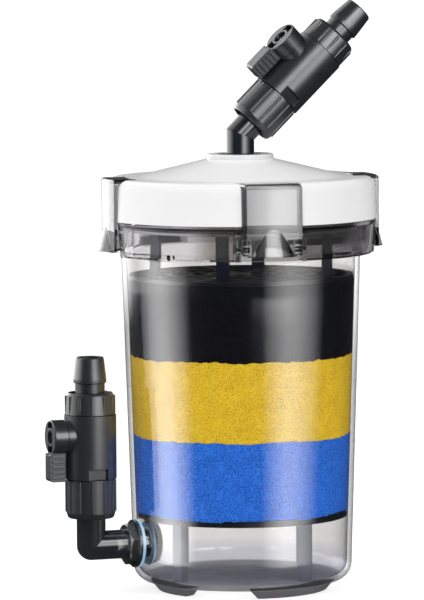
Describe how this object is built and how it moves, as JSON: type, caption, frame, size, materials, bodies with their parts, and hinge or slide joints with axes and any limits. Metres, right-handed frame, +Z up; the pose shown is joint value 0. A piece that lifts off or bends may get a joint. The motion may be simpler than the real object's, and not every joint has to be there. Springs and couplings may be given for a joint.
{
  "type": "aquarium canister filter",
  "caption": "Clear-walled canister filter with stacked sponges, a latched white lid, and a shut-off hose valve on a side inlet and on a swivelling top outlet.",
  "frame": {"origin": "on the barrel's axis, in the plane on which the feet stand", "axes": "+Z up along the barrel's axis; the side inlet is at -X; the rest position of the top outlet leans towards +X"},
  "size_m": [0.1599, 0.1322, 0.2685],
  "materials": {
    "smoked_clear": "clear, slightly smoked",
    "foot_grey": "matte",
    "lid_white": "gloss",
    "seal_rubber": "matte",
    "latch_clear": "clear",
    "foam_blue": "open-cell foam",
    "foam_yellow": "open-cell foam",
    "foam_black": "open-cell foam",
    "frame_navy": "satin",
    "charcoal": "satin",
    "nut_black": "satin",
    "washer_blue": "satin",
    "seat_white": "satin",
    "ball_grey": "polished",
    "steel": "brushed"
  },
  "bodies": {
    "filter": {"barrel": "smoked_clear", "feet": "foot_grey", "lid": "lid_white", "lid_seal": "seal_rubber", "sponge_blue": "foam_blue", "sponge_yellow": "foam_yellow", "sponge_black": "foam_black", "media_support": "frame_navy", "media_press": "frame_navy", "inlet_elbow": "charcoal", "inlet_outer_nut": "nut_black", "inlet_outer_washer": "washer_blue", "inlet_inner_washer": "washer_blue", "inlet_inner_nut": "nut_black", "inlet_spigot_oring": "seal_rubber", "inlet_valve_body": "charcoal", "inlet_hose_tail": "charcoal", "inlet_ball_seats": "seat_white"},
    "outlet_swivel": {"outlet_elbow": "charcoal", "outlet_swivel_oring": "seal_rubber", "outlet_ring_nut": "charcoal", "outlet_spigot_oring": "seal_rubber", "outlet_valve_body": "charcoal", "outlet_hose_tail": "charcoal", "outlet_ball_seats": "seat_white"},
    "inlet_lever": {"inlet_ball": "ball_grey", "inlet_stem": "charcoal", "inlet_stem_oring": "seal_rubber", "inlet_lever": "charcoal", "inlet_lever_screw": "steel"},
    "outlet_lever": {"outlet_ball": "ball_grey", "outlet_stem": "charcoal", "outlet_stem_oring": "seal_rubber", "outlet_lever": "charcoal", "outlet_lever_screw": "steel"},
    "inlet_union_nut": {"inlet_union_nut": "charcoal"},
    "inlet_hose_nut": {"inlet_hose_nut": "charcoal"},
    "outlet_union_nut": {"outlet_union_nut": "charcoal"},
    "outlet_hose_nut": {"outlet_hose_nut": "charcoal"},
    "latch_front": {"latch_front": "latch_clear"},
    "latch_right": {"latch_right": "latch_clear"},
    "latch_rear": {"latch_rear": "latch_clear"},
    "latch_left": {"latch_left": "latch_clear"}
  },
  "joints": [
    {"name": "latch_front_hinge", "type": "hinge", "parent": "filter", "child": "latch_front", "pos_m": [-0.00751, -0.05701, 0.1595], "axis": [0.9914, -0.1305, 0], "range_deg": [0, 85]},
    {"name": "latch_right_hinge", "type": "hinge", "parent": "filter", "child": "latch_right", "pos_m": [0.05701, -0.00751, 0.1595], "axis": [0.1305, 0.9914, 0], "range_deg": [0, 85]},
    {"name": "latch_rear_hinge", "type": "hinge", "parent": "filter", "child": "latch_rear", "pos_m": [0.00751, 0.05701, 0.1595], "axis": [-0.9914, 0.1305, 0], "range_deg": [0, 85]},
    {"name": "latch_left_hinge", "type": "hinge", "parent": "filter", "child": "latch_left", "pos_m": [-0.05701, 0.00751, 0.1595], "axis": [-0.1305, -0.9914, 0], "range_deg": [0, 85]},
    {"name": "outlet_swivel_turn", "type": "hinge", "parent": "filter", "child": "outlet_swivel", "pos_m": [0, 0, 0.1967], "axis": [0, 0, 1], "continuous": true},
    {"name": "inlet_lever_turn", "type": "hinge", "parent": "filter", "child": "inlet_lever", "pos_m": [-0.0734, 0, 0.0733], "axis": [1, 0, 0], "range_deg": [0, 90]},
    {"name": "inlet_union_turn", "type": "hinge", "parent": "filter", "child": "inlet_union_nut", "pos_m": [-0.0734, 0, 0.04505], "axis": [0, 0, -1], "range_deg": [0, 300]},
    {"name": "inlet_hose_nut_turn", "type": "hinge", "parent": "filter", "child": "inlet_hose_nut", "pos_m": [-0.0734, 0, 0.0879], "axis": [0, 0, 1], "range_deg": [0, 300]},
    {"name": "outlet_lever_turn", "type": "hinge", "parent": "outlet_swivel", "child": "outlet_lever", "pos_m": [0.03084, -0.00411, 0.23901], "axis": [0.7126, 0.1353, -0.6884], "range_deg": [0, 90]},
    {"name": "outlet_union_turn", "type": "hinge", "parent": "outlet_swivel", "child": "outlet_union_nut", "pos_m": [0.01104, -0.00147, 0.21904], "axis": [-0.7009, 0.0935, -0.7071], "range_deg": [0, 300]},
    {"name": "outlet_hose_nut_turn", "type": "hinge", "parent": "outlet_swivel", "child": "outlet_hose_nut", "pos_m": [0.04107, -0.00548, 0.24934], "axis": [0.7009, -0.0935, 0.7071], "range_deg": [0, 300]}
  ]
}
